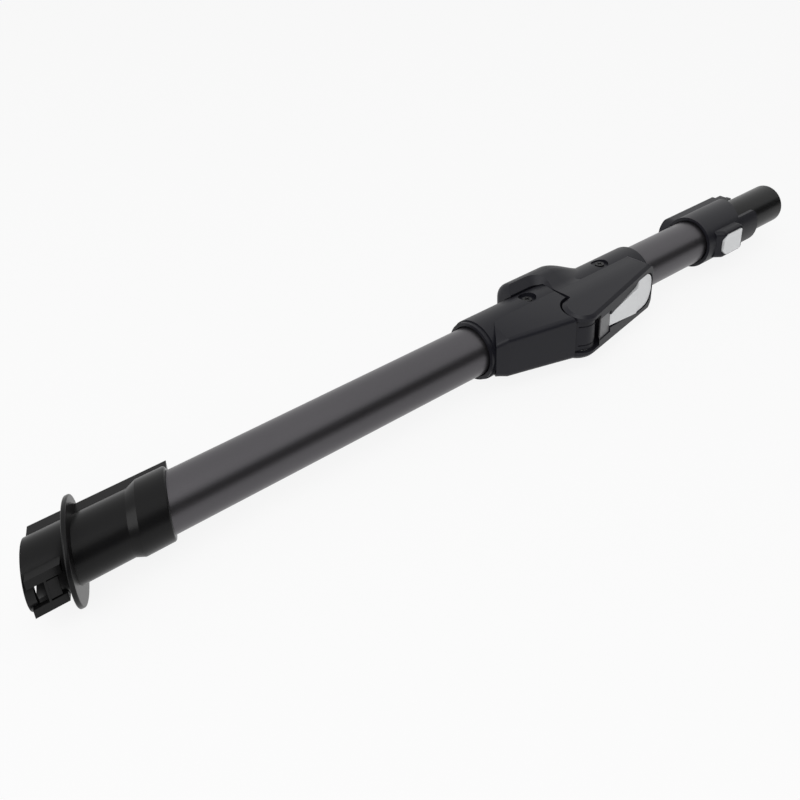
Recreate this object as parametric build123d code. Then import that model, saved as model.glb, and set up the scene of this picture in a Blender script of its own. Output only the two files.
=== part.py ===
from build123d import *

import os
from math import cos, radians, sin, sqrt, tan

# Folding wand of an upright vacuum cleaner, lying on its side, in millimetres.
# X runs along the tubes from the machine end to the floor-head end, and the origin is
# where the machine-end mouth meets the tube axis. Z is up, along the elbow's hinge pin.
# The elbow folds towards -Y, the side with the release lever and the head button.

# Tubes
tube_radius = 17.5
tube_wall = 1.2
tube_seat_clearance = 0.05
plug_clearance = 0.05
long_tube_exposed = 234.0
short_tube_exposed = 74.5

# Machine-end connector: spigot, flange and sleeve between parallel slanted planes
slant_deg = 27.0
spigot_length = 24.5
flange_radius = 29.0
flange_thickness = 3.0
flange_edge_round = 0.8
neck_length = 31.5
sleeve_length = 25.0
spigot_radius = 18.4
neck_radius = 18.2
sleeve_radius = 20.6
sleeve_shoulder_length = 6.0
sleeve_rim_round = 1.6
mouth_bore_radius = 15.4
inner_plug_wall = 1.6
inner_plug_length = 26.0
tube_stop_after_step = 7.0

# Key rail on the back of the connector, with the electric contacts inside
rail_half_width = 11.0
rail_back = 23.8
rail_edge_round = 1.0
contact_pocket_half_width = 8.5
contact_pocket_floor = 19.0
contact_pocket_height = 3.4
contact_pocket_depth = 20.0
contact_block_setback = 3.0
contact_blade_width = 4.0
contact_blade_thickness = 1.0
contact_blade_length = 9.0
contact_blade_pitch = 8.0
contact_clearance = 0.1

# Guide rails and latch window on the front of the connector
guide_inner_half = 7.0
guide_outer_half = 12.6
guide_front = 19.2
guide_start = 2.0
guide_length = 21.0
window_start = 5.0
window_length = 6.0
window_half_height = 6.0
stop_rib_thickness = 1.3
stop_rib_front = 19.2
keeper_length = 6.0
keeper_front = 18.9

# Elbow pivot
lip_to_pivot = 75.0
pivot_offset = 32.0
knuckle_radius = 10.5
knuckle_half_height = 11.2
knuckle_groove_height = 7.0
knuckle_groove_width = 0.8
knuckle_groove_depth = 0.5
washer_thickness = 0.8
washer_radius = 9.5
washer_clearance = 0.1
pin_radius = 3.0
pin_running_clearance = 0.05
bush_wall = 1.2
pin_top = 15.5
pin_bottom = 17.5
hub_radius = 12.8
knuckle_bay_clearance = 3.8

# Lower half of the elbow
barrel_radius = 21.7
barrel_gap = 1.4
lip_radius = 20.8
lip_length = 3.0
lip_gap = 0.9
lip_gap_depth = 4.0
tube_insertion = 63.0
hose_bay_radius = 17.0
web_half_height = 11.2
web_front_margin = 2.6
web_start_behind_pivot = 40.0
cover_start_behind_pivot = 60.0
cover_tip_behind_pivot = 72.4
cover_tip_y = -21.75
cover_tip_z = 11.2
cover_seam_y = -7.0
cover_seam_z = 20.7
cover_left_z = 14.4
cover_right_z = 16.9
cover_wall = 2.2
cover_face_left_x = 63.2
cover_face_left_y = -25.3
cover_face_right_x = 14.0
cover_face_right_y = -38.8
cover_edge_round = 4.0
hub_notch_radius = 14.4
cover_barrel_clearance = 0.05
lower_screw_behind_pivot = 20.0

# Upper half of the elbow
elbow_gap = 2.0
wall_angle = 11.9
elbow_reach = 91.2
elbow_end_round = 17.0
elbow_corner_round = 3.0
elbow_seam_y = -6.0
guard_back = 27.0
guard_half_height = 26.5
guard_corner_round = 12.5
guard_front_y = -12.0
guard_front_z = 20.3
guard_valley_y = -4.0
guard_valley_z = 21.0
guard_valley_round = 14.0
guard_crown_y = 10.0
guard_crown_round = 12.0
guard_edge_y = 10.3
guard_rim_z = 20.8
guard_rim_taper = 43.0
guard_rim_height = 8.0
guard_start = 26.0
guard_start_round = 6.0
guard_inner_corner_round = 9.0
guard_flat_end = 16.0
guard_slope_end = 50.0
guard_steps = 4
guard_end_half_height = 17.6
guard_end_crown_y = 4.0
guard_end_front_z = 16.6
guard_end_valley_z = 17.0
guard_barrel_clearance = 0.5
plate_front_z = 15.9
plate_front_reach = 46.5
plate_crown_y = -20.0
plate_crown_z = 20.6
plate_seam_z = 20.7
plate_crown_round = 60.0
hose_passage_radius = 18.5
cheek_bevel = 2.0
upper_sleeve_radius = 20.5
upper_sleeve_end = 95.5
upper_sleeve_start = 20.0
upper_sleeve_end_round = 1.8
upper_tube_start = 26.0
upper_screw_after_pivot = 58.0

# Fixing screws in the two sleeves
screw_recess_radius = 6.4
screw_recess_floor = 18.6
screw_head_radius = 3.4
screw_head_height = 1.2
screw_shank_radius = 1.5
screw_reach = 15.6
screw_drive_size = 4.0
screw_drive_bar = 1.0
screw_drive_depth = 0.7

# Flexible hose through the elbow
hose_radius = 16.2
hose_wall = 0.9
hose_folds = 8
hose_collar_length = 4.0
cuff_bore_radius = 13.0
cuff_nose_clearance = 0.3
cuff_nose_wall = 1.2
cuff_nose_length = 3.8
cuff_flange_thickness = 1.5
cuff_plug_length = 6.0
hose_end_gap = 0.3
cuff_seat_clearance = 0.05

# Release lever, its pin and spring, and the latch that it draws back
lever_start = 23.0
lever_neck_end = 60.0
lever_pad_start = 65.0
lever_end = 88.0
lever_neck_half_start = 4.5
lever_neck_half_end = 10.4
lever_pad_half = 12.8
lever_recess = 1.2
lever_thickness = 3.0
lever_neck_rise = 2.0
lever_pad_recess = 0.6
lever_pad_thickness = 2.0
lever_side_gap = 0.8
lever_pad_corner_round = 11.0
lever_pin_along = 26.0
lever_pin_depth = 4.6
lever_pin_radius = 1.5
lever_lug_half = 4.0
lever_lug_radius = 3.2
lever_pocket_depth = 8.2
lever_pad_shoulder_round = 2.5
lever_step_round = 4.0
lever_pin_grip = 3.0
lever_spring_radius = 3.0
lever_cam_along = 42.0
lever_cam_tip = 1.0
lever_cam_depth = 8.8
lever_cam_stroke = 1.4
lever_spring_along = 70.0
latch_half_height = 4.5
latch_half_width = 2.4
latch_nose_gap = 0.35
latch_notch_depth = 1.6
latch_notch_clearance = 0.4
latch_nose_half = 1.4
latch_front_start = 13.5
latch_front_end = 33.0
latch_tail_start = 31.5
latch_tail_depth = 6.9
latch_tail_floor = 12.6
latch_end = 49.0
latch_travel = 1.2
latch_cam_clearance = 0.6
latch_slope_clearance = 0.3
latch_bay_clearance = 0.3
latch_spring_radius = 1.7
latch_spring_end = 53.6
latch_cover_start = 6.8
latch_cover_half_height = 8.8
latch_cover_thickness = 2.0
sleeve_relief_y = -19.0
sleeve_relief_half_height = 13.0

# Floor-head end: collar, spigot, back rail, button
collar_to_rim = 50.3
collar_radius = 20.7
collar_rim_slant_deg = 22.0
collar_tab_end = 67.0
collar_tab_half_height = 12.5
collar_tab_round = 3.0
collar_entry_gap = 0.8
collar_entry_depth = 2.0
tip_after_collar = 111.5
head_spigot_radius = 16.0
head_spigot_bore = 14.2
head_tube_insertion = 27.0
head_plug_length = 22.0
head_flange_radius = 18.3
head_flange_length = 4.5
head_socket_radius = 18.6
head_tip_chamfer = 1.0
head_root_step = 0.2
head_rail_lead = 4.5
head_rail_length = 71.5
head_rail_half_width = 12.2
head_rail_back = 25.8
head_rail_edge_round = 1.6
head_rail_wall = 2.2
head_rail_tongue_round = 11.0
head_plug_depth = 14.0
head_plug_gap = 0.2
head_step_length = 12.0
head_step_back = 25.0
head_nose_half_width = 6.5
head_nose_length = 10.0
head_nose_back = 23.5
head_nose_round = 2.0
head_contact_radius = 1.1
head_contact_bore = 0.7
head_socket_length = 6.0
housing_start = 9.0
housing_end = 39.4
housing_front = 25.0
housing_half_height = 11.5
housing_root = 20.2
housing_taper = 5.5
housing_edge_round = 4.0
housing_end_round = 1.5
button_start = 13.2
button_end = 36.8
button_half_height = 8.6
button_gap = 0.5
button_proud = 0.4
button_thickness = 2.0
button_well_floor = 20.4
button_pin_along = 26.0
button_pin_y = -22.0
button_pin_grip = 1.2
button_corner_round = 6.0
button_corner_small = 1.5
button_pin_radius = 1.2
button_lug_radius = 2.4
hook_back = 21.6
hook_length = 2.8
hook_half_height = 3.4
hook_tip_radius = 17.3
hook_slot_gap = 0.6
button_spring_radius = 3.0
button_spring_room = 0.4
button_spring_floor = 18.9
button_spring_along = 18.0

# Springs
spring_wire_radius = 0.35
spring_turns = 4

# Places along X that follow from the lengths above
slant = tan(radians(slant_deg))
flange_x = spigot_length
neck_x = flange_x + flange_thickness
step_x = neck_x + neck_length
rim_x = step_x + sleeve_length
tube_start_x = step_x + tube_stop_after_step
lip_x = rim_x + long_tube_exposed
pivot_x = lip_x + lip_to_pivot
pivot_y = -pivot_offset
barrel_end_x = pivot_x + elbow_gap - barrel_gap
tube_end_x = lip_x + tube_insertion
upper_tube_x = pivot_x + upper_tube_start
upper_sleeve_end_x = pivot_x + upper_sleeve_end
collar_x = upper_sleeve_end_x + short_tube_exposed
short_tube_end_x = collar_x + head_tube_insertion
rim_head_x = collar_x + collar_to_rim
tab_end_x = collar_x + collar_tab_end
tip_x = collar_x + tip_after_collar
tube_bore_radius = tube_radius - tube_wall
seat_radius = tube_radius + tube_seat_clearance
plug_radius = tube_bore_radius - plug_clearance
cheek_inner_z = knuckle_half_height + washer_thickness + washer_clearance
bush_radius = pin_radius + pin_running_clearance + bush_wall
knuckle_bay_radius = knuckle_radius + knuckle_bay_clearance
cuff_nose_radius = cuff_bore_radius + cuff_nose_wall
cover_face_fall = (cover_face_right_y - cover_face_left_y) / (cover_face_left_x - cover_face_right_x)
lower_screw_x = pivot_x - lower_screw_behind_pivot
upper_screw_x = pivot_x + upper_screw_after_pivot
reach = 60.0
overlap = 1.0


def rounded_face(corners):
    """Flat face through corners (a, b, round), each corner rounded by its own radius."""
    face = make_face(Polyline([(a, b) for a, b, _ in corners], close=True))
    for a, b, radius in corners:
        if radius > 0:
            corner = face.vertices().sort_by_distance((a, b, 0))[0]
            face = fillet(corner, radius)
    return face


def mirrored(corners):
    """Corners of the upper half (a, b, round), from left to right, closed by their mirror image."""
    return corners + [(a, -b, radius) for a, b, radius in reversed(corners)]


def plan_prism(face, half_height):
    """Solid of a plan face in XY, as high above the axis as below it."""
    return extrude(face, amount=half_height, both=True)


def section_prism(face, x_start, x_end):
    """Solid of a section face (Y, Z) run along X."""
    return extrude(Plane.YZ.offset(x_start) * face, amount=x_end - x_start)


def elevation_prism(face, half_width):
    """Solid of an elevation face (X, Z) run along Y, both ways."""
    return extrude(Plane.XZ * face, amount=half_width, both=True)


def rod_x(radius, x_start, x_end):
    """Round rod on the tube axis."""
    return extrude(Plane.YZ.offset(x_start) * Circle(radius), amount=x_end - x_start)


def rod_z(radius, x, y, z_low, z_high):
    """Round upright rod."""
    return extrude(Plane.XY.offset(z_low) * Pos(x, y) * Circle(radius), amount=z_high - z_low)


def pipe(outer, inner, x_start, x_end):
    """Hollow round pipe on the tube axis."""
    return rod_x(outer, x_start, x_end) - rod_x(inner, x_start, x_end)


def block(x_start, x_end, y_start, y_end, z_start, z_end):
    """Square block between two corners."""
    size = (x_end - x_start, y_end - y_start, z_end - z_start)
    return Pos(x_start, y_start, z_start) * Box(*size, align=(Align.MIN, Align.MIN, Align.MIN))


def slant_slab(x_start, x_end):
    """Slab between two slanted planes that cross the axis at x_start and x_end."""
    side = reach * slant
    low = [(x_start - side, -reach), (x_end - side, -reach)]
    high = [(x_end + side, reach), (x_start + side, reach)]
    return plan_prism(make_face(Polyline(low + high, close=True)), reach)


def slant_rod(radius, x_start, x_end):
    """Round rod on the axis cut by two slanted planes."""
    side = radius * slant + overlap
    return rod_x(radius, x_start - side, x_end + side) & slant_slab(x_start, x_end)


def slant_oval(radius, x):
    """Oval that a round rod leaves on the slanted plane through x."""
    turn = radians(slant_deg)
    cut = Plane(origin=(x, 0, 0), x_dir=(0, 0, 1), z_dir=(cos(turn), -sin(turn), 0))
    return cut * Ellipse(radius, radius / cos(turn))


def wall_point(along, depth):
    """Point in XY, along the elbow's front wall from the hub's tangent and inwards from it."""
    turn = radians(wall_angle)
    x = pivot_x + hub_radius * sin(turn) + along * cos(turn) - depth * sin(turn)
    y = pivot_y - hub_radius * cos(turn) + along * sin(turn) + depth * cos(turn)
    return (x, y)


def wall_plan(corners):
    """Plan face of corners (along, depth, round) measured on the front wall."""
    return rounded_face([(*wall_point(along, depth), radius) for along, depth, radius in corners])


def wall_bar(along_start, along_end, depth_start, depth_end, half_height):
    """Block that follows the front wall."""
    corners = [(along_start, depth_start, 0), (along_end, depth_start, 0)]
    corners += [(along_end, depth_end, 0), (along_start, depth_end, 0)]
    return plan_prism(wall_plan(corners), half_height)


def wall_frame(depth):
    """Plane on the front wall at a depth: its x runs along the wall, its y is up."""
    turn = radians(wall_angle)
    along = Vector(cos(turn), sin(turn), 0)
    inward = Vector(-sin(turn), cos(turn), 0)
    return Plane(origin=(*wall_point(0, depth), 0), x_dir=along, z_dir=-inward)


def wall_cut(corners, depth_start, depth_end):
    """Solid of a face (along, height, round) seen square on the front wall, between two depths."""
    return extrude(wall_frame(depth_end) * rounded_face(corners), amount=depth_end - depth_start)


def coil(radius, length):
    """Compression spring standing on the XY plane, its wire inside the given length."""
    rise = length - 2 * spring_wire_radius
    path = Helix(pitch=rise / spring_turns, height=rise, radius=radius - spring_wire_radius)
    wire = Plane(origin=path @ 0, z_dir=path % 0) * Circle(spring_wire_radius)
    return Pos(0, 0, spring_wire_radius) * sweep(wire, path=path)


def write(name, *solids):
    """Write one node: a single solid, or a group of like solids."""
    shape = solids[0] if len(solids) == 1 else Compound(children=list(solids))
    export_step(shape, f"parts/{name}.step")


# Machine end

def contact_pocket(clearance):
    """Room for the contact block in the key rail, less a clearance all round."""
    half = contact_pocket_half_width - clearance
    low = contact_pocket_floor + clearance
    high = contact_pocket_floor + contact_pocket_height - clearance
    bar = block(-reach, reach, low, high, -half, half)
    return bar & slant_slab(-overlap, contact_pocket_depth - clearance)


def machine_connector():
    """Moulded connector that plugs into the machine: slanted spigot, flange, neck and sleeve."""
    flange = slant_rod(flange_radius, flange_x, neck_x)
    flange = fillet(flange.edges().filter_by(GeomType.LINE, reverse=True), flange_edge_round)
    shoulder_x = step_x + sleeve_shoulder_length
    sleeve = slant_rod(sleeve_radius, shoulder_x, rim_x)
    rim = sleeve.edges().filter_by(GeomType.LINE, reverse=True).sort_by(Axis.X)[-1]
    sleeve = fillet(rim, sleeve_rim_round)
    sleeve += loft([slant_oval(neck_radius, step_x), slant_oval(sleeve_radius, shoulder_x)])
    neck = slant_rod(neck_radius, neck_x - overlap, step_x + overlap)
    body = slant_rod(spigot_radius, 0, flange_x) + flange + neck + sleeve
    rail = block(-reach, rim_x + reach, 0, rail_back, -rail_half_width, rail_half_width)
    rail = fillet(rail.edges().filter_by(Axis.X).group_by(Axis.Y)[-1], rail_edge_round)
    body += rail & slant_slab(0, rim_x)
    guides = block(-reach, reach, -guide_front, 0, -guide_outer_half, guide_outer_half)
    guides -= block(-reach, reach, -guide_front, 0, -guide_inner_half, guide_inner_half)
    body += guides & slant_slab(guide_start, guide_length)
    rib_start = window_start + window_length
    keeper_start = rib_start + stop_rib_thickness
    rib = block(-reach, reach, -stop_rib_front, 0, -guide_inner_half, guide_inner_half)
    keeper = block(-reach, reach, -keeper_front, 0, -window_half_height, window_half_height)
    body += rib & slant_slab(rib_start, keeper_start)
    body += keeper & slant_slab(keeper_start, keeper_start + keeper_length)
    window = block(-reach, reach, -reach, 0, -window_half_height, window_half_height)
    body -= window & slant_slab(window_start, rib_start)
    body -= rod_x(mouth_bore_radius, -reach, neck_x)
    throat = plug_radius - inner_plug_wall
    body -= rod_x(throat, 0, rim_x + reach)
    body -= rod_x(seat_radius, tube_start_x, rim_x + reach)
    body += pipe(plug_radius, throat, tube_start_x - overlap, tube_start_x + inner_plug_length)
    return body - contact_pocket(0)


def machine_contact_block():
    """Insulating block pushed into the key rail, with a slot for each blade."""
    body = contact_pocket(contact_clearance) & slant_slab(contact_block_setback, contact_pocket_depth)
    for blade in machine_contacts():
        body -= blade
    return body


def machine_contacts():
    """Two flat brass blades that stand out of the contact block towards the mouth."""
    middle = contact_pocket_floor + contact_pocket_height / 2
    low = middle - contact_blade_thickness / 2
    half = contact_blade_width / 2
    start = contact_block_setback / 2
    blades = []
    for side in (-1, 1):
        centre = side * contact_blade_pitch / 2
        bar = block(-reach, reach, low, low + contact_blade_thickness, centre - half, centre + half)
        blades.append(bar & slant_slab(start, start + contact_blade_length))
    return blades


# Fixing screws, which stand upright above and below the axis

def screw_pair(x):
    """Two countersunk screws, one from above and one from below."""
    head_top = screw_recess_floor + screw_head_height
    screw = rod_z(screw_shank_radius, x, 0, screw_reach, screw_recess_floor)
    screw += rod_z(screw_head_radius, x, 0, screw_recess_floor, head_top)
    bar = Box(screw_drive_size, screw_drive_bar, 2 * screw_drive_depth)
    cross = bar + Rot(0, 0, 90) * bar
    screw -= Pos(x, 0, head_top) * cross
    return [screw, mirror(screw, Plane.XY)]


def screw_holes(x, top):
    """Recesses and shank holes of a pair of screws."""
    recess = rod_z(screw_recess_radius, x, 0, screw_recess_floor, top)
    hole = recess + rod_z(screw_shank_radius, x, 0, screw_reach, screw_recess_floor)
    return hole + mirror(hole, Plane.XY)


def long_tube():
    """Drawn aluminium tube from the connector to the elbow, drilled for the fixing screws."""
    body = pipe(tube_radius, tube_bore_radius, tube_start_x, tube_end_x)
    return body - screw_holes(lower_screw_x, barrel_radius)


def short_tube():
    """Drawn aluminium tube from the elbow to the floor-head collar."""
    body = pipe(tube_radius, tube_bore_radius, upper_tube_x, short_tube_end_x)
    return body - screw_holes(upper_screw_x, barrel_radius)


# Lower half of the elbow

def lower_sleeve():
    """Moulded barrel on the long tube, with the arm and knuckle that carry the hinge."""
    body = rod_x(lip_radius, lip_x, lip_x + lip_length)
    body += rod_x(barrel_radius, lip_x + lip_length, barrel_end_x)
    web = [
        (pivot_x - web_start_behind_pivot, -tube_radius, 0),
        (pivot_x - web_start_behind_pivot, face_y(web_start_behind_pivot) + web_front_margin, 0),
        (pivot_x - cover_face_right_x, cover_face_right_y + web_front_margin, 0),
        (pivot_x - knuckle_radius / 2, pivot_y - knuckle_radius * sqrt(3) / 2, 0),
        (pivot_x, pivot_y, 0),
        (pivot_x, -tube_radius, 0),
    ]
    arm = plan_prism(rounded_face(web), web_half_height)
    arm += rod_z(knuckle_radius, pivot_x, pivot_y, -knuckle_half_height, knuckle_half_height)
    body += arm & block(0, barrel_end_x + reach, -reach, reach, -web_half_height, web_half_height)
    groove = rod_z(knuckle_radius + overlap, pivot_x, pivot_y, 0, knuckle_groove_width)
    groove -= rod_z(knuckle_radius - knuckle_groove_depth, pivot_x, pivot_y, 0, knuckle_groove_width)
    for height in (knuckle_groove_height, -knuckle_groove_height - knuckle_groove_width):
        body -= Pos(0, 0, height) * groove
    body -= latch_notch()
    body -= rod_z(bush_radius, pivot_x, pivot_y, -reach, reach)
    body -= rod_x(tube_radius + lip_gap, lip_x, lip_x + lip_gap_depth)
    body -= rod_x(seat_radius, lip_x, tube_end_x)
    body -= rod_x(hose_bay_radius, lip_x, barrel_end_x + reach)
    return body - screw_holes(lower_screw_x, barrel_radius)


def latch_notch():
    """Notch in the knuckle that faces the latch nose when the wand is straight."""
    half = latch_nose_half + latch_notch_clearance
    bottom = knuckle_radius - latch_notch_depth
    return wall_bar(bottom, knuckle_radius + overlap, hub_radius - half, hub_radius + half,
                    latch_half_height + latch_notch_clearance)


def face_y(behind_pivot):
    """Y of the side cover's front face at a place behind the pivot."""
    return cover_face_left_y + cover_face_fall * (cover_face_left_x - behind_pivot)


def cover_form(inset):
    """Outer form of the side cover, or its hollow when inset by the wall."""
    side = inset * sqrt(1 + cover_face_fall ** 2)
    end = pivot_x - barrel_end_x
    stations = [
        (cover_tip_behind_pivot - inset, cover_tip_y + side, cover_tip_z - inset),
        (cover_face_left_x - inset, face_y(cover_face_left_x - inset) + side, cover_left_z - inset),
        (end, face_y(end) + side, cover_right_z - inset),
    ]
    sections = []
    for behind, front_y, front_z in stations:
        corners = mirrored([(front_y, front_z, 0), (cover_seam_y, cover_seam_z - inset, 0)])
        sections.append(Plane.YZ.offset(pivot_x - behind) * rounded_face(corners))
    plan = rounded_face([
        (pivot_x - cover_start_behind_pivot + inset, cover_seam_y, 0),
        (barrel_end_x, cover_seam_y, 0),
        (barrel_end_x, -reach, 0),
        (pivot_x - cover_tip_behind_pivot + inset, -reach, 0),
        (pivot_x - cover_tip_behind_pivot + inset, cover_tip_y, 0),
    ])
    return loft(sections, ruled=True) & plan_prism(plan, reach)


def lower_side_cover():
    """Moulded side cover with a bare slanted front face, clipped over the barrel and the arm."""
    body = cover_form(0)
    ridges = body.edges().filter_by(lambda edge: edge.center().Y < cover_tip_y and edge.center().X < pivot_x)
    body = fillet(ridges, cover_edge_round)
    body -= cover_form(cover_wall)
    body -= rod_x(barrel_radius + cover_barrel_clearance, lip_x - reach, pivot_x + reach)
    return body - rod_z(hub_notch_radius, pivot_x, pivot_y, -reach, reach)


def hinge_bush():
    """Plain bush in the knuckle, in which the pin turns."""
    body = rod_z(bush_radius, pivot_x, pivot_y, -knuckle_half_height, knuckle_half_height)
    return body - rod_z(pin_radius + pin_running_clearance, pivot_x, pivot_y, -reach, reach)


def thrust_washers():
    """Two thin washers between the knuckle and the cheeks of the upper half."""
    top = knuckle_half_height + washer_thickness
    washer = rod_z(washer_radius, pivot_x, pivot_y, knuckle_half_height, top)
    washer -= rod_z(pin_radius + 2 * pin_running_clearance, pivot_x, pivot_y, 0, reach)
    return [washer, mirror(washer, Plane.XY)]


def hinge_pin():
    """Steel pin, pressed in from below and held by both cheeks."""
    return rod_z(pin_radius, pivot_x, pivot_y, -pin_bottom, pin_top)


# Hose

def hose_cuff(tube_end, towards):
    """Ring that plugs into a tube end and carries the hose on its nose, which points along X by towards."""
    plug_end = tube_end - towards * cuff_plug_length
    flange_end = tube_end + towards * cuff_flange_thickness
    nose_end = flange_end + towards * cuff_nose_length
    body = rod_x(plug_radius, min(plug_end, tube_end), max(plug_end, tube_end))
    seat_flange = hose_bay_radius - cuff_seat_clearance
    body += rod_x(seat_flange, min(tube_end, flange_end), max(tube_end, flange_end))
    body += rod_x(cuff_nose_radius, min(flange_end, nose_end), max(flange_end, nose_end))
    return body - rod_x(cuff_bore_radius, min(plug_end, nose_end), max(plug_end, nose_end))


def bellows_hose():
    """Folded rubber hose between the two cuffs, at its short straight length."""
    start = tube_end_x + cuff_flange_thickness + hose_end_gap
    end = upper_tube_x - cuff_flange_thickness - hose_end_gap
    inside = cuff_nose_radius + cuff_nose_clearance
    outside = inside + hose_wall
    pitch = (end - start - 2 * hose_collar_length) / hose_folds
    outer = [(start, outside), (start + hose_collar_length, outside)]
    inner = [(start, inside), (start + hose_collar_length, inside)]
    for fold in range(hose_folds):
        crest = start + hose_collar_length + (fold + 0.5) * pitch
        root = crest + pitch / 2
        outer += [(crest, hose_radius), (root, outside)]
        inner += [(crest, hose_radius - hose_wall), (root, inside)]
    outer.append((end, outside))
    inner.append((end, inside))
    profile = make_face(Polyline(outer + inner[::-1], close=True))
    return revolve(Plane.XZ * profile, axis=Axis.X)


# Upper half of the elbow

def plate_form():
    """Cheeks and lever wall: a plan with a crowned section, bevelled along its front edge."""
    wall_end = (elbow_reach - hub_radius * sin(radians(wall_angle))) / cos(radians(wall_angle))
    plan = rounded_face([
        (pivot_x + elbow_gap, elbow_seam_y, 0),
        (pivot_x + elbow_reach, elbow_seam_y, elbow_corner_round),
        (*wall_point(wall_end, 0), elbow_corner_round),
        (*wall_point(0, 0), 0),
        (pivot_x, pivot_y, 0),
        (pivot_x + elbow_gap, pivot_y, 0),
    ])
    plan += Pos(pivot_x, pivot_y) * Circle(hub_radius)
    section = rounded_face(mirrored([
        (-plate_front_reach, plate_front_z, 0),
        (plate_crown_y, plate_crown_z, plate_crown_round),
        (elbow_seam_y + overlap, plate_seam_z, 0),
    ]))
    form = plan_prism(plan, reach) & section_prism(section, pivot_x - reach, pivot_x + 2 * reach)
    front = form.faces().filter_by(lambda face: face.center().Y < pivot_y)
    upright = front.filter_by(lambda face: abs(face.center().Z) < cheek_inner_z)
    rim = [edge for face in upright for edge in face.edges() if abs(edge.center().Z) > cheek_inner_z]
    form = chamfer(rim, cheek_bevel)
    elevation = rounded_face(mirrored([
        (pivot_x - reach, plate_seam_z + overlap, 0),
        (pivot_x + elbow_reach, plate_seam_z + overlap, elbow_end_round),
    ]))
    return form & elevation_prism(elevation, reach)


def guard_section(share):
    """Section of the back guard, from its full size at share 0 to its buried end at share 1."""
    def mix(full, end):
        return full + (end - full) * share

    top = mix(guard_half_height, guard_end_half_height)
    return rounded_face(mirrored([
        (guard_front_y, mix(guard_front_z, guard_end_front_z), 0),
        (guard_valley_y, mix(guard_valley_z, guard_end_valley_z), guard_valley_round),
        (mix(guard_crown_y, guard_end_crown_y), top, guard_crown_round),
        (mix(guard_back, guard_end_half_height), top, guard_corner_round),
    ]))


def guard_opening():
    """Room for the barrel inside the guard, with a sloping rim above and below."""
    face = rounded_face([
        (pivot_x - reach, -reach, 0),
        (pivot_x + elbow_gap, -reach, 0),
        (pivot_x + elbow_gap, guard_edge_y, guard_inner_corner_round),
        (pivot_x - reach, guard_edge_y, 0),
    ])
    rim = extrude(Pos(0, 0, guard_rim_z) * face, amount=guard_rim_height, taper=-guard_rim_taper)
    return plan_prism(face, guard_rim_z) + rim + mirror(rim, Plane.XY)


def guard_form():
    """Back guard: a straight hood round the barrel, which falls away smoothly over the sleeve."""
    start = pivot_x - guard_start
    flat_end = pivot_x + guard_flat_end
    hood = section_prism(guard_section(0), start, flat_end)
    rim = hood.faces().sort_by(Axis.X)[0].edges()
    hood = fillet(rim.filter_by(lambda edge: edge.center().Y > guard_front_y + overlap), guard_start_round)
    sections = []
    for step in range(guard_steps + 1):
        part = step / guard_steps
        share = part * part * (3 - 2 * part)
        x = flat_end + part * (guard_slope_end - guard_flat_end)
        sections.append(Plane.YZ.offset(x) * guard_section(share))
    return hood + loft(sections) - guard_opening()


def lever_outline(gap):
    """Outline of the lever on the front wall (along, height, round), grown by a gap."""
    return mirrored([
        (lever_start - gap, lever_neck_half_start + gap, 0),
        (lever_neck_end - gap, lever_neck_half_end + gap, lever_pad_shoulder_round),
        (lever_pad_start - gap, lever_pad_half + gap, lever_pad_shoulder_round),
        (lever_end + gap, lever_pad_half + gap, lever_pad_corner_round),
    ])


def latch_bay():
    """Room for the latch and its spring behind the front wall."""
    half = latch_half_height + latch_bay_clearance
    front = wall_bar(0, latch_front_end + latch_travel + latch_bay_clearance,
                     hub_radius - latch_half_width - latch_bay_clearance,
                     hub_radius + latch_half_width + latch_bay_clearance, half)
    tail = wall_bar(latch_tail_start - latch_bay_clearance, latch_spring_end,
                    latch_tail_depth - latch_bay_clearance, latch_tail_floor + latch_bay_clearance, half)
    return front + tail


def upper_elbow():
    """Moulded upper half of the elbow: two cheeks, back guard and the wall that holds the lever."""
    body = plate_form() + guard_form()
    body -= rod_x(barrel_radius + guard_barrel_clearance, pivot_x - reach, pivot_x + elbow_gap)
    body -= rod_z(knuckle_bay_radius, pivot_x, pivot_y, -cheek_inner_z, cheek_inner_z)
    sleeve_start = pivot_x + upper_sleeve_start
    body -= rod_x(hose_passage_radius, pivot_x, sleeve_start)
    body -= rod_x(upper_sleeve_radius + tube_seat_clearance, sleeve_start, pivot_x + 2 * reach)
    body -= wall_cut(lever_outline(lever_side_gap), -reach, lever_pocket_depth)
    body -= wall_cut(latch_cover_outline(), -reach, lever_recess + latch_cover_thickness)
    body -= latch_bay()
    body -= rod_z(pin_radius, pivot_x, pivot_y, -reach, pin_top)
    return body - lever_pin()


def latch_cover_outline():
    """Outline of the plate in front of the latch (along, height, round)."""
    return mirrored([
        (latch_cover_start, latch_cover_half_height, 0),
        (lever_start - lever_side_gap, latch_cover_half_height, 0),
    ])


def latch_cover():
    """Plain grey plate let into the front wall between the knuckle and the lever."""
    body = wall_cut(latch_cover_outline(), lever_recess, lever_recess + latch_cover_thickness)
    return body - rod_z(knuckle_bay_radius, pivot_x, pivot_y, -reach, reach)


def upper_sleeve():
    """Moulded sleeve that clamps the short tube, with a flat under the lever's thumb pad."""
    start = pivot_x + upper_sleeve_start
    body = rod_x(upper_sleeve_radius, start, upper_sleeve_end_x)
    end = body.edges().filter_by(GeomType.CIRCLE).sort_by(Axis.X)[-1]
    body = fillet(end, upper_sleeve_end_round)
    body -= rod_x(hose_bay_radius, pivot_x, upper_tube_x)
    body -= rod_x(seat_radius, upper_tube_x, upper_sleeve_end_x)
    relief_end = pivot_x + elbow_reach - lever_side_gap
    half = sleeve_relief_half_height
    body -= block(start, relief_end, -reach, sleeve_relief_y, -half, half)
    body -= rod_x(tube_radius + lip_gap, upper_sleeve_end_x - lip_gap_depth, upper_sleeve_end_x)
    return body - screw_holes(upper_screw_x, barrel_radius)


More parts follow.
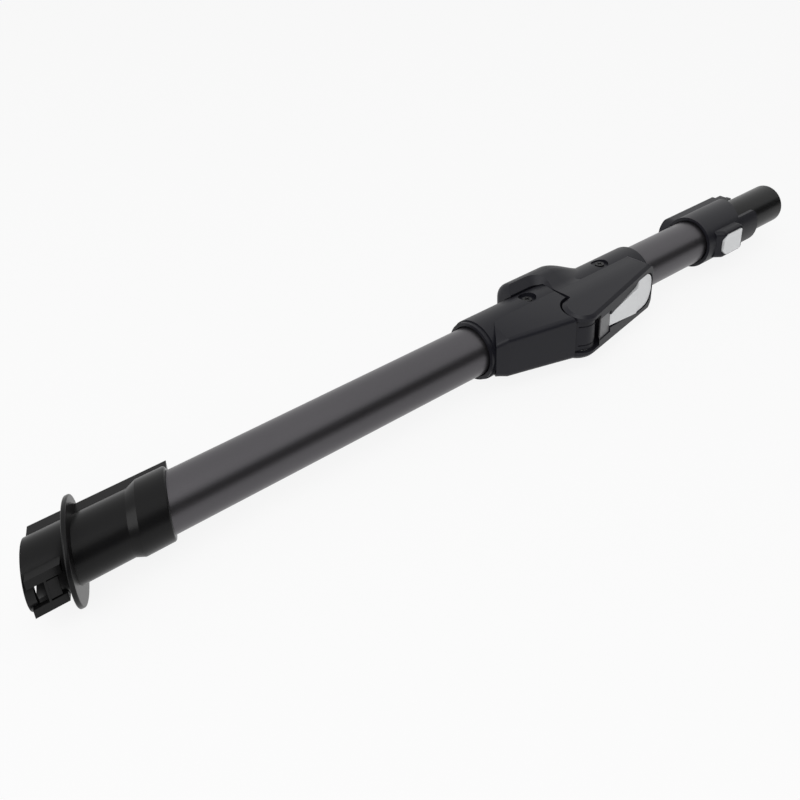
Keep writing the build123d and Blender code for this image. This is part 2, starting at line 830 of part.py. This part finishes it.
def release_lever():
    """Silver lever with a thumb pad, a lug on its pin and a cam that draws the latch."""
    inner = lever_recess + lever_thickness
    pad_inner = lever_pad_recess + lever_pad_thickness
    profile = wall_plan([
        (lever_start, lever_recess, 0),
        (lever_neck_end, -lever_neck_rise, lever_step_round),
        (lever_pad_start, lever_pad_recess, lever_step_round),
        (lever_end, lever_pad_recess, 0),
        (lever_end, pad_inner, 0),
        (lever_pad_start, pad_inner, 0),
        (lever_neck_end, inner, 0),
        (lever_start, inner, 0),
    ])
    body = wall_cut(lever_outline(0), -lever_neck_rise, inner) & plan_prism(profile, reach)
    pin_x, pin_y = wall_point(lever_pin_along, lever_pin_depth)
    lug = rod_z(lever_lug_radius, pin_x, pin_y, -lever_lug_half, lever_lug_half)
    body += lug & wall_bar(lever_start, lever_neck_end, lever_recess, reach, reach)
    middle = lever_recess + lever_thickness / 2
    tip_end = lever_cam_along + lever_cam_tip
    cam_end = tip_end + lever_cam_depth - inner
    cam = [
        (lever_cam_along, middle, 0),
        (lever_cam_along, lever_cam_depth, 0),
        (tip_end, lever_cam_depth, 0),
        (cam_end, inner, 0),
        (cam_end, middle, 0),
    ]
    body += plan_prism(wall_plan(cam), latch_half_height - latch_bay_clearance)
    return body - rod_z(lever_pin_radius + pin_running_clearance, pin_x, pin_y, -reach, reach)


def lever_pin():
    """Steel pin across the lever's slot."""
    half = lever_neck_half_start + lever_side_gap + lever_pin_grip
    return rod_z(lever_pin_radius, *wall_point(lever_pin_along, lever_pin_depth), -half, half)


def latch_slider():
    """Latch with a nose for the knuckle's notch and a sloped notch for the lever's cam."""
    nose = knuckle_radius + latch_nose_gap
    low = hub_radius - latch_half_width
    high = hub_radius + latch_half_width
    cam_root = lever_cam_depth + lever_cam_stroke
    cam_wall = lever_cam_along - latch_travel - latch_cam_clearance
    slope_foot = lever_cam_along + lever_cam_tip - lever_cam_stroke + latch_slope_clearance
    slope_top = slope_foot + cam_root - latch_tail_depth
    plan = [
        (nose, hub_radius - latch_nose_half, 0),
        (latch_front_start, low, 0),
        (latch_tail_start, low, 0),
        (latch_tail_start, latch_tail_depth, 0),
        (cam_wall, latch_tail_depth, 0),
        (cam_wall, cam_root, 0),
        (slope_foot, cam_root, 0),
        (slope_top, latch_tail_depth, 0),
        (latch_end, latch_tail_depth, 0),
        (latch_end, latch_tail_floor, 0),
        (latch_front_end, latch_tail_floor, 0),
        (latch_front_end, high, 0),
        (latch_front_start, high, 0),
        (nose, hub_radius + latch_nose_half, 0),
    ]
    return plan_prism(wall_plan(plan), latch_half_height)


def latch_spring():
    """Spring behind the latch, which pushes it at the knuckle."""
    middle = (latch_tail_depth + latch_tail_floor) / 2
    x, y = wall_point(latch_end, middle)
    turn = radians(wall_angle)
    seat = Plane(origin=(x, y, 0), x_dir=(0, 0, 1), z_dir=(cos(turn), sin(turn), 0))
    return seat * coil(latch_spring_radius, latch_spring_end - latch_end)


def lever_spring():
    """Spring under the thumb pad."""
    depth = lever_pad_recess + lever_pad_thickness
    x, y = wall_point(lever_spring_along, depth)
    turn = radians(wall_angle)
    seat = Plane(origin=(x, y, 0), x_dir=(0, 0, 1), z_dir=(-sin(turn), cos(turn), 0))
    return seat * coil(lever_spring_radius, lever_pocket_depth - depth)


# Floor-head end

def collar_slab():
    """Everything before the collar's slanted rim."""
    side = reach * tan(radians(collar_rim_slant_deg))
    low = [(collar_x, -reach), (rim_head_x - side, -reach)]
    high = [(rim_head_x + side, reach), (collar_x, reach)]
    return plan_prism(make_face(Polyline(low + high, close=True)), reach)


def head_collar():
    """Moulded collar on the short tube, with a tab at its rim and the bulge that houses the button."""
    tab = elevation_prism(rounded_face(mirrored([
        (collar_x, collar_tab_half_height, 0),
        (tab_end_x, collar_tab_half_height, collar_tab_round),
    ])), reach)
    tab &= block(collar_x, tab_end_x, -reach, 0, -reach, reach)
    body = rod_x(collar_radius, collar_x, rim_head_x + reach) & (collar_slab() + tab)
    bulge = plan_prism(rounded_face([
        (collar_x + housing_start, 0, 0),
        (collar_x + housing_start, -housing_root, 0),
        (collar_x + housing_start + housing_taper, -housing_front, housing_edge_round),
        (collar_x + housing_end, -housing_front, housing_end_round),
        (collar_x + housing_end, 0, 0),
    ]), housing_half_height)
    sides = bulge.edges().filter_by(lambda edge: abs(edge.center().Z) > housing_half_height - overlap)
    body += fillet(sides.filter_by(lambda edge: edge.center().Y < -housing_root), housing_edge_round)
    body -= rod_x(seat_radius, collar_x, short_tube_end_x)
    flange_end = short_tube_end_x + head_flange_length
    body -= rod_x(head_flange_radius + tube_seat_clearance, short_tube_end_x, flange_end)
    body -= rod_x(head_socket_radius, flange_end, tip_x)
    body -= rod_x(tube_radius + collar_entry_gap, collar_x, collar_x + collar_entry_depth)
    body -= button_well()
    return body - button_pin()


def button_outline(gap):
    """Outline of the button's pad (X, Z), grown by a gap."""
    return rounded_face(mirrored([
        (collar_x + button_start - gap, button_half_height + gap, button_corner_round),
        (collar_x + button_end + gap, button_half_height + gap, button_corner_small),
    ]))


def button_well():
    """Well for the button, with room below its floor for the spring, the lug and the hook."""
    end = collar_x + button_end + button_gap
    well_floor = Plane(origin=(0, -button_well_floor, 0), x_dir=(1, 0, 0), z_dir=(0, -1, 0))
    well = extrude(well_floor * button_outline(button_gap), amount=reach)
    slot_half = hook_half_height + hook_slot_gap
    pin_x = collar_x + button_pin_along
    lug_room = button_lug_radius + hook_slot_gap
    lug_end = pin_x + 2 * button_lug_radius
    lug_slot = block(pin_x - lug_room, lug_end, -reach, button_pin_y + lug_room, -slot_half, slot_half)
    hook_start = collar_x + button_end - hook_length - hook_slot_gap
    hook_slot = block(hook_start, end + hook_slot_gap, -button_well_floor - overlap, 0, -slot_half, slot_half)
    seat = Plane(origin=(collar_x + button_spring_along, -button_spring_floor, 0), z_dir=(0, -1, 0))
    spring_room = extrude(seat * Circle(button_spring_radius + button_spring_room), amount=reach)
    return well + lug_slot + hook_slot + spring_room


def head_button():
    """Silver rocker: the thumb pad on one side of its pin, the head's hook on the other."""
    pad_back = housing_front + button_proud
    pad_plane = Plane(origin=(0, -pad_back, 0), x_dir=(1, 0, 0), z_dir=(0, -1, 0))
    body = extrude(pad_plane * button_outline(0), amount=-button_thickness)
    pin_x = collar_x + button_pin_along
    lug = plan_prism(rounded_face([
        (pin_x - button_lug_radius, -pad_back + button_thickness / 2, 0),
        (collar_x + button_end, -pad_back + button_thickness / 2, 0),
        (collar_x + button_end, -hook_tip_radius, 0),
        (collar_x + button_end - hook_length, -hook_tip_radius, 0),
        (collar_x + button_end - hook_length, -hook_back, 0),
        (pin_x, button_pin_y + button_lug_radius, 0),
        (pin_x - button_lug_radius, button_pin_y, 0),
    ]), hook_half_height)
    body += lug
    return body - rod_z(button_pin_radius + pin_running_clearance, pin_x, button_pin_y, -reach, reach)


def button_pin():
    """Steel pin of the rocker, held in the walls of the well."""
    half = button_half_height + button_gap + button_pin_grip
    return rod_z(button_pin_radius, collar_x + button_pin_along, button_pin_y, -half, half)


def button_spring():
    """Spring under the button's thumb pad."""
    top = housing_front + button_proud - button_thickness
    seat = Plane(origin=(collar_x + button_spring_along, -top, 0), x_dir=(1, 0, 0), z_dir=(0, 1, 0))
    return seat * coil(button_spring_radius, top - button_spring_floor)


def head_spigot():
    """Moulded spigot that enters the floor head, plugged into the short tube behind a flange."""
    flange_end = short_tube_end_x + head_flange_length
    root_end = tab_end_x + overlap
    body = rod_x(plug_radius, short_tube_end_x - head_plug_length, short_tube_end_x)
    body += rod_x(head_flange_radius, short_tube_end_x, flange_end)
    body += rod_x(head_spigot_radius + head_root_step, flange_end, root_end)
    nose = rod_x(head_spigot_radius, root_end, tip_x)
    body += chamfer(nose.edges().filter_by(GeomType.CIRCLE).sort_by(Axis.X)[-1], head_tip_chamfer)
    return body - rod_x(head_spigot_bore, short_tube_end_x - head_plug_length, tip_x)


def head_rail_cover():
    """Channel-shaped cover along the back of the collar, over the way to the head contacts."""
    start = collar_x - head_rail_lead
    end = start + head_rail_length
    body = section_prism(rounded_face(mirrored([
        (0, head_rail_half_width, 0),
        (head_rail_back, head_rail_half_width, head_rail_edge_round),
    ])), start, end)
    tongue = rounded_face(mirrored([
        (start, head_rail_half_width, head_rail_tongue_round),
        (end, head_rail_half_width, 0),
    ]))
    body &= elevation_prism(tongue, reach)
    channel_half = head_rail_half_width - head_rail_wall
    body -= block(start + head_rail_tongue_round, end, 0, head_rail_back - head_rail_wall,
                  -channel_half, channel_half)
    body -= rod_x(seat_radius, start, collar_x)
    return body - rod_x(collar_radius + tube_seat_clearance, collar_x - collar_entry_gap, end)


def head_contact_block():
    """Plug in the open end of the rail: a stepped block and a rounded nose with the contact sockets."""
    rail_end = collar_x - head_rail_lead + head_rail_length
    half = head_rail_half_width - head_rail_wall - head_plug_gap
    root_back = head_rail_back - head_rail_wall - head_plug_gap
    nose_start = rail_end + head_step_length
    body = block(rail_end - head_plug_depth, rail_end, 0, root_back, -half, half)
    body += block(rail_end, nose_start, 0, head_step_back, -half, half)
    nose = block(nose_start, nose_start + head_nose_length, 0, head_nose_back,
                 -head_nose_half_width, head_nose_half_width)
    tip = nose.faces().sort_by(Axis.X)[-1]
    body += fillet(tip.edges().group_by(Axis.Y)[-1] + tip.edges().filter_by(Axis.Y), head_nose_round)
    body -= rod_x(collar_radius + tube_seat_clearance, rail_end - head_plug_depth, nose_start + head_nose_length)
    for contact in head_contacts(0):
        body -= contact
    return body


def head_contacts(bore_radius):
    """Two brass sockets in the nose, bored to a radius, or solid for their holes when it is 0."""
    rail_end = collar_x - head_rail_lead + head_rail_length
    nose_end = rail_end + head_step_length + head_nose_length
    middle = (collar_radius + head_nose_back) / 2
    seat = Plane.YZ.offset(nose_end - head_socket_length)
    ring = Circle(head_contact_radius)
    if bore_radius > 0:
        ring -= Circle(bore_radius)
    sockets = []
    for side in (-1, 1):
        place = Pos(middle, side * head_nose_half_width / 2)
        sockets.append(extrude(seat * place * ring, amount=head_socket_length))
    return sockets


os.makedirs("parts", exist_ok=True)
write("machine_connector", machine_connector())
write("machine_contact_block", machine_contact_block())
write("machine_contacts", *machine_contacts())
write("long_tube", long_tube())
write("lower_sleeve", lower_sleeve())
write("lower_side_cover", lower_side_cover())
write("lower_fixing_screws", *screw_pair(lower_screw_x))
write("lower_hose_cuff", hose_cuff(tube_end_x, 1))
write("bellows_hose", bellows_hose())
write("upper_hose_cuff", hose_cuff(upper_tube_x, -1))
write("hinge_bush", hinge_bush())
write("thrust_washers", *thrust_washers())
write("hinge_pin", hinge_pin())
write("upper_elbow", upper_elbow())
write("upper_sleeve", upper_sleeve())
write("upper_fixing_screws", *screw_pair(upper_screw_x))
write("latch_cover", latch_cover())
write("latch_slider", latch_slider())
write("latch_spring", latch_spring())
write("release_lever", release_lever())
write("lever_pin", lever_pin())
write("lever_spring", lever_spring())
write("short_tube", short_tube())
write("head_collar", head_collar())
write("head_rail_cover", head_rail_cover())
write("head_contact_block", head_contact_block())
write("head_contacts", *head_contacts(head_contact_bore))
write("head_spigot", head_spigot())
write("head_button", head_button())
write("button_pin", button_pin())
write("button_spring", button_spring())
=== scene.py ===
import math

import bpy
from mathutils import Matrix, Vector


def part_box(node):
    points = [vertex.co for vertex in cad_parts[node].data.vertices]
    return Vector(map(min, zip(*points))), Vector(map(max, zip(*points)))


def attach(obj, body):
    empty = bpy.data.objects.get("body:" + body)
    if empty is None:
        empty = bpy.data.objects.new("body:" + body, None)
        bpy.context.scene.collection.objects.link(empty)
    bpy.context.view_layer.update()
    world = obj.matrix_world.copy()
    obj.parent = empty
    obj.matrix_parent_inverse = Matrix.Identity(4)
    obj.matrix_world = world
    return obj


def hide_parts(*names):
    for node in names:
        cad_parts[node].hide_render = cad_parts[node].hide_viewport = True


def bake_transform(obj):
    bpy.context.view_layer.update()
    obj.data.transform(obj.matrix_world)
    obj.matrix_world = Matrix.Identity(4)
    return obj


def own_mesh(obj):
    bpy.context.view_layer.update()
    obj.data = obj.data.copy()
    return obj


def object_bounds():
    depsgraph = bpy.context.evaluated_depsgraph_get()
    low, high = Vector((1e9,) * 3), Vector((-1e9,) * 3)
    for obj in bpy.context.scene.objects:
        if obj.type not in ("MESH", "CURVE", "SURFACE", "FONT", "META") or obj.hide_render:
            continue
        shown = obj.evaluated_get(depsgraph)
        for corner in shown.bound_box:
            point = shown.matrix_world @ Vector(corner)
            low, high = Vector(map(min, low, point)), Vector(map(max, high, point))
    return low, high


# The wand as it was drawn: moulded ends and elbow on two aluminium tubes, lying on its side.
# X runs from the machine end to the floor-head end and Z up along the hinge pin, in metres.
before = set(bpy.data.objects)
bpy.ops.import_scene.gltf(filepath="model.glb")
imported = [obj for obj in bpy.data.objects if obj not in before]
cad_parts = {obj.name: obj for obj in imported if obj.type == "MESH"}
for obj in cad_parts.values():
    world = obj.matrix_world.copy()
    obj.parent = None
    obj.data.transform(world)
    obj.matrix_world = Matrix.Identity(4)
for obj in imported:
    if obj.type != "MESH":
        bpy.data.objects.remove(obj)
drawn_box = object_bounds()
scene = bpy.context.scene
scene.view_settings.view_transform = "Standard"


# Machine-end connector: one gloss black ABS moulding, with the slanted spigot that enters the
# machine, its guide rails and latch window, the stop flange and the sleeve glued over the tube.
# Polished steel tooling leaves it shiny, with the slight orange peel of a thick wall.
class Wire:
    """A shader socket that takes part in Python arithmetic."""

    def __init__(self, nodes, socket):
        self.nodes = nodes
        self.socket = socket

    def math(self, operation, first, second):
        return self.nodes.node("ShaderNodeMath", {"operation": operation}, {0: first, 1: second})

    def __add__(self, other):
        return self.math("ADD", self, other)

    def __radd__(self, other):
        return self.math("ADD", other, self)

    def __mul__(self, other):
        return self.math("MULTIPLY", self, other)

    def __rmul__(self, other):
        return self.math("MULTIPLY", other, self)


class Nodes:
    """A tree of shader nodes, with one way to add a node and one to feed a socket."""

    def __init__(self, tree):
        self.tree = tree

    def node(self, kind, settings, values, output=0):
        made = self.tree.nodes.new(kind)
        for setting, value in settings.items():
            setattr(made, setting, value)
        for socket, value in values.items():
            self.feed(made.inputs[socket], value)
        return Wire(self, made.outputs[output])

    def feed(self, socket, value):
        if isinstance(value, Wire):
            self.tree.links.new(value.socket, socket)
        else:
            socket.default_value = value


class Finish(Nodes):
    """A surface finish: one material with a Principled shader and the nodes that feed it."""

    def __init__(self, name, **constants):
        self.material = bpy.data.materials.new(name)
        self.material.use_nodes = True
        super().__init__(self.material.node_tree)
        self.shader = self.tree.nodes["Principled BSDF"]
        for socket, value in constants.items():
            self.shader.inputs[socket.replace("_", " ")].default_value = value
        self.place = self.node("ShaderNodeTexCoord", {}, {}, "Object")

    def grain(self, scale, detail, stretch=(1, 1, 1), roughness=0.5):
        stretched = self.node("ShaderNodeMapping", {}, {"Vector": self.place, "Scale": stretch})
        return self.node("ShaderNodeTexNoise", {}, {"Vector": stretched, "Scale": scale,
                                                    "Detail": detail, "Roughness": roughness})

    def colour(self, mask, dark, light):
        first, second, mixed = 6, 7, 2  # by number, because the Mix node repeats socket names
        shade = self.node("ShaderNodeMix", {"data_type": "RGBA"},
                          {"Factor": mask, first: (*dark, 1), second: (*light, 1)}, mixed)
        self.feed(self.shader.inputs["Base Color"], shade)

    def roughness(self, value):
        self.feed(self.shader.inputs["Roughness"], value)

    def bump(self, height, strength, distance):
        relief = self.node("ShaderNodeBump", {}, {"Height": height, "Strength": strength,
                                                  "Distance": distance})
        self.feed(self.shader.inputs["Normal"], relief)

    def paint(self, *names):
        for name in names:
            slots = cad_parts[name].data.materials
            slots.clear()
            slots.append(self.material)


gloss_black = Finish("gloss_black_moulding", IOR=1.5, Specular_IOR_Level=0.18)
cloud = gloss_black.grain(scale=22, detail=3)
peel = gloss_black.grain(scale=420, detail=1)
specks = gloss_black.grain(scale=2400, detail=2)
gloss_black.colour(cloud, dark=(0.0045, 0.0045, 0.0048), light=(0.0070, 0.0069, 0.0072))
gloss_black.roughness(0.24 + 0.08 * cloud + 0.05 * specks)
gloss_black.bump(peel + 0.25 * specks, strength=0.10, distance=0.00012)
gloss_black.paint("machine_connector")


# Contacts: a pair of stamped brass blades in a black insulating block, which is pushed into the
# key rail on the connector's back. The sockets at the floor-head end are of the same brass.
satin_black = Finish("satin_black_moulding", IOR=1.5, Specular_IOR_Level=0.25)
cloud = satin_black.grain(scale=16, detail=3)
spark = satin_black.grain(scale=1900, detail=3, roughness=0.65)
satin_black.colour(cloud, dark=(0.0085, 0.0085, 0.0120), light=(0.0120, 0.0120, 0.0165))
satin_black.roughness(0.34 + 0.08 * cloud + 0.10 * spark)
satin_black.bump(spark, strength=0.16, distance=0.00010)
satin_black.paint("machine_contact_block")

brass = Finish("stamped_brass", Metallic=1.0)
roll = brass.grain(scale=900, detail=2, stretch=(1, 8, 8))
brass.colour(roll, dark=(0.62, 0.44, 0.17), light=(0.78, 0.60, 0.29))
brass.roughness(0.24 + 0.16 * roll)
brass.bump(roll, strength=0.08, distance=0.00005)
brass.paint("machine_contacts", "head_contacts")


# Tubes: two lengths of drawn aluminium, finely blasted and anodised a dark grey.
# The drawing leaves faint lines along them and the blasting an even fine grain.
anodised = Finish("dark_anodised_tube", Metallic=0.92, IOR=1.5)
cloud = anodised.grain(scale=9, detail=2)
blast = anodised.grain(scale=3200, detail=2, roughness=0.7)
drawn = anodised.grain(scale=700, detail=2, stretch=(0.02, 1, 1))
anodised.colour(0.7 * blast + 0.3 * cloud, dark=(0.074, 0.071, 0.076), light=(0.122, 0.117, 0.125))
anodised.roughness(0.28 + 0.10 * blast + 0.06 * drawn)
anodised.bump(blast + 0.5 * drawn, strength=0.14, distance=0.00006)
anodised.paint("long_tube", "short_tube")


# Lower half of the elbow: a satin black glass-filled barrel on the long tube, with the arm and
# knuckle of the hinge, and a snap-on side cover over them. Two blackened steel screws, sunk above
# and below, hold the tube, as another two do in the upper half.
satin_black.paint("lower_sleeve", "lower_side_cover")

oxide = Finish("black_oxide_steel", Metallic=0.7)
turning = oxide.grain(scale=1200, detail=2, stretch=(1, 1, 4))
oxide.colour(turning, dark=(0.010, 0.010, 0.011), light=(0.018, 0.018, 0.019))
oxide.roughness(0.34 + 0.18 * turning)
oxide.bump(turning, strength=0.10, distance=0.00004)
oxide.paint("lower_fixing_screws", "upper_fixing_screws")


# Hinge bearing: a steel pin that turns in a plain acetal bush in the knuckle, between two thin
# acetal washers that keep the cheeks off it. The latch that locks the hinge is acetal too, and
# the lever and the button turn on pins of the same zinc-plated steel.
acetal = Finish("natural_acetal", IOR=1.48)
milky = acetal.grain(scale=160, detail=2)
acetal.colour(milky, dark=(0.60, 0.60, 0.56), light=(0.70, 0.70, 0.67))
acetal.roughness(0.38 + 0.10 * milky)
acetal.bump(milky, strength=0.06, distance=0.00008)
acetal.paint("hinge_bush", "thrust_washers", "latch_slider")

steel = Finish("zinc_plated_steel", Metallic=1.0)
turning = steel.grain(scale=1400, detail=2, stretch=(1, 1, 5))
steel.colour(turning, dark=(0.42, 0.42, 0.43), light=(0.62, 0.62, 0.63))
steel.roughness(0.24 + 0.18 * turning)
steel.bump(turning, strength=0.10, distance=0.00004)
steel.paint("hinge_pin", "lever_pin", "button_pin")


# Hose through the elbow: a blow-moulded rubber bellows, pushed over the noses of two cuffs that
# plug the tube ends. It is short and straight here.
satin_black.paint("lower_hose_cuff", "upper_hose_cuff")
hose_low, hose_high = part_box("bellows_hose")
hose_sides = 72
hose_wall = 0.0007
hose_collar = 0.0040
collar_steps = 4
end_gap = 0.0003
fold_count = 8
fold_root = 0.01475
fold_crest = 0.01605
slope_share = 0.30
flat_share = 0.20
quarter_turn = math.pi / 2

edge = hose_low.x + end_gap
pitch = (hose_high.x - hose_low.x - 2 * end_gap - 2 * hose_collar) / fold_count
collar = collar_steps * [(hose_collar / collar_steps, 1)]
fold = [(slope_share * pitch, fold_crest / fold_root), (flat_share * pitch, 1),
        (slope_share * pitch, fold_root / fold_crest), (flat_share * pitch, 1)]

bpy.ops.object.select_all(action="DESELECT")
bpy.ops.mesh.primitive_circle_add(vertices=hose_sides, radius=fold_root, location=(edge, 0, 0),
                                  rotation=(0, quarter_turn, 0))
hose = bpy.context.object
hose.name = "folded_hose"
bpy.ops.object.transform_apply(location=True, rotation=True, scale=True)
bpy.ops.object.mode_set(mode="EDIT")
bpy.ops.mesh.select_all(action="SELECT")
for step, widening in collar + fold_count * fold + collar:
    edge += step
    bpy.ops.mesh.extrude_region_move(TRANSFORM_OT_translate={"value": (step, 0, 0)})
    bpy.ops.transform.resize(value=(1, widening, widening), center_override=(edge, 0, 0))
bpy.ops.mesh.select_all(action="SELECT")
bpy.ops.mesh.normals_make_consistent(inside=False)
bpy.ops.object.mode_set(mode="OBJECT")
wall = hose.modifiers.new("wall", "SOLIDIFY")
wall.thickness = hose_wall
wall.offset = 0
bpy.ops.object.modifier_apply(modifier="wall")
rounding = hose.modifiers.new("rounding", "SUBSURF")
rounding.levels = 2
rounding.render_levels = rounding.levels
bpy.ops.object.modifier_apply(modifier="rounding")
bpy.ops.object.shade_smooth()

rubber = Finish("black_hose_rubber", IOR=1.5)
bloom = rubber.grain(scale=140, detail=4)
rubber.colour(bloom, dark=(0.016, 0.016, 0.016), light=(0.030, 0.030, 0.031))
rubber.roughness(0.52 + 0.16 * bloom)
rubber.bump(bloom, strength=0.10, distance=0.00010)
hose.data.materials.append(rubber.material)
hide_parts("bellows_hose")
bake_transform(hose)


# Upper half of the elbow: a satin black moulding with two cheeks about the knuckle and a guard
# behind the barrel, screwed with a round sleeve onto the short tube.
satin_black.paint("upper_elbow", "upper_sleeve")


# Release: a silver-painted lever that turns on its pin between the cheeks, and the grey plate
# that closes the elbow in front of the latch. The button at the floor-head end has the same paint.
silver = Finish("silver_paint", Metallic=0.35, IOR=1.5)
flake = silver.grain(scale=3600, detail=1)
haze = silver.grain(scale=40, detail=2)
silver.colour(0.6 * flake + 0.4 * haze, dark=(0.80, 0.81, 0.82), light=(0.88, 0.89, 0.90))
silver.roughness(0.36 + 0.10 * flake)
silver.bump(flake, strength=0.05, distance=0.00004)
silver.paint("release_lever", "head_button")

plate_grey = Finish("grey_latch_plate", IOR=1.5)
cloud = plate_grey.grain(scale=60, detail=2)
spark = plate_grey.grain(scale=2000, detail=2)
plate_grey.colour(cloud, dark=(0.170, 0.170, 0.174), light=(0.215, 0.215, 0.220))
plate_grey.roughness(0.36 + 0.12 * spark)
plate_grey.bump(spark, strength=0.12, distance=0.00008)
plate_grey.paint("latch_cover")


# Springs: three short coils of plain steel wire, under the lever's pad, behind the latch and
# under the button. Each stands on a fixed seat and is pressed down by the piece at its other end.
wire_radius = 0.00035
wire_sides = 12
spring_turns = 4
turn_steps = 32
crease_angle = 0.7


def spring(node, seat, tip, radius):
    """Wind a coil from its seat to its tip."""
    seat = Vector(seat)
    reach = Vector(tip) - seat
    bpy.ops.object.select_all(action="DESELECT")
    bpy.ops.mesh.primitive_circle_add(vertices=wire_sides, radius=wire_radius,
                                      location=(radius - wire_radius, 0, wire_radius),
                                      rotation=(quarter_turn, 0, 0))
    coil = bpy.context.object
    coil.name = node.replace("spring", "coil")
    bpy.ops.object.transform_apply(location=True, rotation=True, scale=True)
    winding = coil.modifiers.new("winding", "SCREW")
    winding.screw_offset = (reach.length - 2 * wire_radius) / spring_turns
    winding.iterations = spring_turns
    winding.steps = turn_steps
    winding.render_steps = turn_steps
    bpy.ops.object.modifier_apply(modifier="winding")
    bpy.ops.object.mode_set(mode="EDIT")
    bpy.ops.mesh.select_all(action="SELECT")
    bpy.ops.mesh.fill_holes(sides=0)
    bpy.ops.mesh.select_all(action="SELECT")
    bpy.ops.mesh.normals_make_consistent(inside=False)
    bpy.ops.object.mode_set(mode="OBJECT")
    bpy.ops.object.shade_smooth_by_angle(angle=crease_angle)
    coil.rotation_euler = reach.to_track_quat("Z", "Y").to_euler()
    coil.location = seat
    bpy.ops.object.transform_apply(location=True, rotation=True, scale=True)
    coil.data.materials.append(steel.material)
    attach(coil, "upper")
    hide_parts(node)
    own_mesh(coil)


spring("lever_spring", seat=(0.46244, -0.02207, 0), tip=(0.46359, -0.02752, 0),
       radius=0.0030)
spring("latch_spring", seat=(0.44608, -0.02393, 0), tip=(0.44161, -0.02487, 0),
       radius=0.0017)
spring("button_spring", seat=(0.58100, -0.01890, 0), tip=(0.58100, -0.02338, 0),
       radius=0.0030)


# Floor-head end: a satin black collar with the button's bulge, the rail cover on its back with
# the contact nose, and the gloss black round spigot that enters the head.
satin_black.paint("head_collar", "head_rail_cover", "head_contact_block")
gloss_black.paint("head_spigot")


# Stage: a plain pale floor under the flange and the guard, one soft lamp above, and a sky that
# lights the wand from overhead. A dark card in front shows only in reflections, as the dark band
# along the tubes. The camera stands at the photograph's place.
lowest = drawn_box[0].z
floor_size = 60
floor_middle = (0.3, 0, lowest)
white_share = 0.88


def shown(nodes):
    """1 for the rays that show a white background: the camera's, and those off gloss or glass."""
    seen = nodes.node("ShaderNodeLightPath", {}, {}, "Is Camera Ray")
    mirrored = nodes.node("ShaderNodeLightPath", {}, {}, "Is Glossy Ray")
    through = nodes.node("ShaderNodeLightPath", {}, {}, "Is Transmission Ray")
    return seen + mirrored + through


bpy.ops.object.select_all(action="DESELECT")
bpy.ops.mesh.primitive_plane_add(size=floor_size, location=floor_middle)
floor = bpy.context.object
floor.name = "floor"
pale = Finish("pale_floor", Roughness=0.9, Base_Color=(0.86, 0.86, 0.86, 1))
lit = Wire(pale, pale.shader.outputs[0])
glow = pale.node("ShaderNodeEmission", {}, {"Color": (1, 1, 1, 1), "Strength": 1.0})
surface = pale.node("ShaderNodeMixShader", {}, {0: white_share * shown(pale), 1: lit, 2: glow})
pale.feed(pale.tree.nodes["Material Output"].inputs["Surface"], surface)
floor.data.materials.append(pale.material)

card_length = 6.0
card_height = 0.24
card_middle = (1.0, -0.30, lowest + card_height / 2)
bpy.ops.mesh.primitive_plane_add(size=1, location=card_middle, rotation=(quarter_turn, 0, 0))
card = bpy.context.object
card.name = "dark_card"
card.scale = (card_length, card_height, 1)
card.visible_camera = False
card.visible_diffuse = False
card.visible_shadow = False
black = Finish("black_card", Roughness=0.9, Base_Color=(0.02, 0.02, 0.02, 1))
card.data.materials.append(black.material)

sky_axis = (0.12, 0.38, 0.92)
world = bpy.data.worlds.new("studio")
world.use_nodes = True
scene.world = world
sky = Nodes(world.node_tree)
towards = sky.node("ShaderNodeTexCoord", {}, {}, "Generated")
height = sky.node("ShaderNodeVectorMath", {"operation": "DOT_PRODUCT"},
                  {0: towards, 1: sky_axis}, "Value")
level = sky.node("ShaderNodeMapRange", {"interpolation_type": "SMOOTHSTEP"},
                 {"Value": height, "From Min": 0.08, "From Max": 0.72,
                  "To Min": 0.02, "To Max": 0.52})
strength = sky.node("ShaderNodeMath", {"operation": "MAXIMUM"}, {0: level, 1: shown(sky)})
background = world.node_tree.nodes["Background"]
sky.feed(background.inputs["Color"], (1, 1, 1, 1))
sky.feed(background.inputs["Strength"], strength)

key_place = Vector((-0.90, -0.90, 1.30))
key_target = Vector((0.35, 0, 0))
key_lamp = bpy.data.lights.new("key", "AREA")
key_lamp.shape = "SQUARE"
key_lamp.size = 2.2
key_lamp.energy = 30
key = bpy.data.objects.new("key", key_lamp)
scene.collection.objects.link(key)
key.location = key_place
key.rotation_euler = (key_target - key_place).to_track_quat("-Z", "Y").to_euler()

camera_place = (-0.0918, -0.4262, 0.3499)
right = Vector((0.7568, -0.6520, -0.0468))
up = Vector((0.3880, 0.3904, 0.8349))
back = right.cross(up).normalized()
up = back.cross(right).normalized()
turned = Matrix((right.normalized(), up, back)).transposed().to_4x4()
view = bpy.data.cameras.new("camera")
view.sensor_width = 36
view.lens = 45
view.clip_start = 0.01
camera = bpy.data.objects.new("camera", view)
scene.collection.objects.link(camera)
camera.matrix_world = Matrix.Translation(camera_place) @ turned
scene.camera = camera
